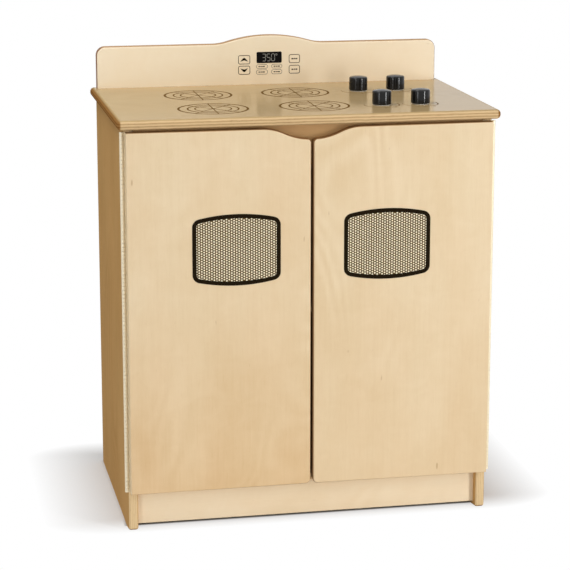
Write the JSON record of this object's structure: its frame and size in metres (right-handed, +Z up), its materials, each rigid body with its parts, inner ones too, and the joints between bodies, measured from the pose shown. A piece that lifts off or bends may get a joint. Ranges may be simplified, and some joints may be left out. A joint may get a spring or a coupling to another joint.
{
  "type": "toy oven",
  "caption": "Wooden play-kitchen stove: a plywood cabinet with two strip-hinged doors and an inside shelf, a cooktop with turning knobs, and a crested backsplash.",
  "frame": {"origin": "on the floor, under the middle of the whole object", "axes": "+Z up, the doors face -Y, +X is to the right of a person facing the doors"},
  "size_m": [0.61, 0.381, 0.748],
  "materials": {
    "birch_ply": "clear satin lacquer on birch plywood",
    "cooktop_lacquer": "high-gloss lacquer on birch plywood",
    "back_ply": "matt plywood",
    "black_plastic": "glossy black",
    "nylon": "natural nylon",
    "hinge_steel": "nickel-plated, satin",
    "zinc_steel": "bright zinc",
    "brown_plastic": "moulded",
    "magnet": "bare ferrite",
    "dowel_beech": "raw",
    "print_brown": "printed ink under lacquer",
    "window_print": "printed ink under lacquer"
  },
  "bodies": {
    "cabinet": {"left_side_panel": "birch_ply", "right_side_panel": "birch_ply", "floor_panel": "birch_ply", "shelf": "birch_ply", "back_panel": "back_ply", "toe_kick": "birch_ply", "back_rail": "birch_ply", "front_rail": "birch_ply", "cooktop": "cooktop_lacquer", "backsplash": "birch_ply", "backsplash_screw_1": "zinc_steel", "backsplash_screw_2": "zinc_steel", "backsplash_screw_3": "zinc_steel", "left_front_dowel": "dowel_beech", "left_back_dowel": "dowel_beech", "right_front_dowel": "dowel_beech", "right_back_dowel": "dowel_beech", "left_hinge_frame_leaf": "hinge_steel", "left_hinge_pin": "zinc_steel", "left_catch_housing": "brown_plastic", "left_catch_magnet": "magnet", "left_catch_screw_1": "zinc_steel", "left_catch_screw_2": "zinc_steel", "right_hinge_frame_leaf": "hinge_steel", "right_hinge_pin": "zinc_steel", "right_catch_housing": "brown_plastic", "right_catch_magnet": "magnet", "right_catch_screw_1": "zinc_steel", "right_catch_screw_2": "zinc_steel", "front_left_knob_glide": "nylon", "front_left_knob_washer": "zinc_steel", "front_left_burner_print": "print_brown", "front_right_knob_glide": "nylon", "front_right_knob_washer": "zinc_steel", "front_right_burner_print": "print_brown", "back_left_knob_glide": "nylon", "back_left_knob_washer": "zinc_steel", "back_left_burner_print": "print_brown", "back_right_knob_glide": "nylon", "back_right_knob_washer": "zinc_steel", "back_right_burner_print": "print_brown"},
    "left_door_assembly": {"left_door": "birch_ply", "left_hinge_door_leaf": "hinge_steel", "left_strike_plate": "zinc_steel", "left_strike_screw": "zinc_steel", "left_window_print": "window_print"},
    "right_door_assembly": {"right_door": "birch_ply", "right_hinge_door_leaf": "hinge_steel", "right_strike_plate": "zinc_steel", "right_strike_screw": "zinc_steel", "right_window_print": "window_print"},
    "front_left_knob_assembly": {"front_left_knob": "black_plastic", "front_left_knob_screw": "zinc_steel"},
    "front_right_knob_assembly": {"front_right_knob": "black_plastic", "front_right_knob_screw": "zinc_steel"},
    "back_left_knob_assembly": {"back_left_knob": "black_plastic", "back_left_knob_screw": "zinc_steel"},
    "back_right_knob_assembly": {"back_right_knob": "black_plastic", "back_right_knob_screw": "zinc_steel"}
  },
  "joints": [
    {"name": "left_door_hinge", "type": "hinge", "parent": "cabinet", "child": "left_door_assembly", "pos_m": [-0.2968, -0.1725, 0.35525], "axis": [0, 0, -1], "range_deg": [0, 180]},
    {"name": "right_door_hinge", "type": "hinge", "parent": "cabinet", "child": "right_door_assembly", "pos_m": [0.2968, -0.1725, 0.35525], "axis": [0, 0, 1], "range_deg": [0, 180]},
    {"name": "front_left_knob_turn", "type": "hinge", "parent": "cabinet", "child": "front_left_knob_assembly", "pos_m": [0.132, -0.1005, 0.664], "axis": [0, 0, -1], "continuous": true},
    {"name": "front_right_knob_turn", "type": "hinge", "parent": "cabinet", "child": "front_right_knob_assembly", "pos_m": [0.196, -0.1005, 0.664], "axis": [0, 0, -1], "continuous": true},
    {"name": "back_left_knob_turn", "type": "hinge", "parent": "cabinet", "child": "back_left_knob_assembly", "pos_m": [0.132, 0.0635, 0.664], "axis": [0, 0, -1], "continuous": true},
    {"name": "back_right_knob_turn", "type": "hinge", "parent": "cabinet", "child": "back_right_knob_assembly", "pos_m": [0.196, 0.0635, 0.664], "axis": [0, 0, -1], "continuous": true}
  ]
}
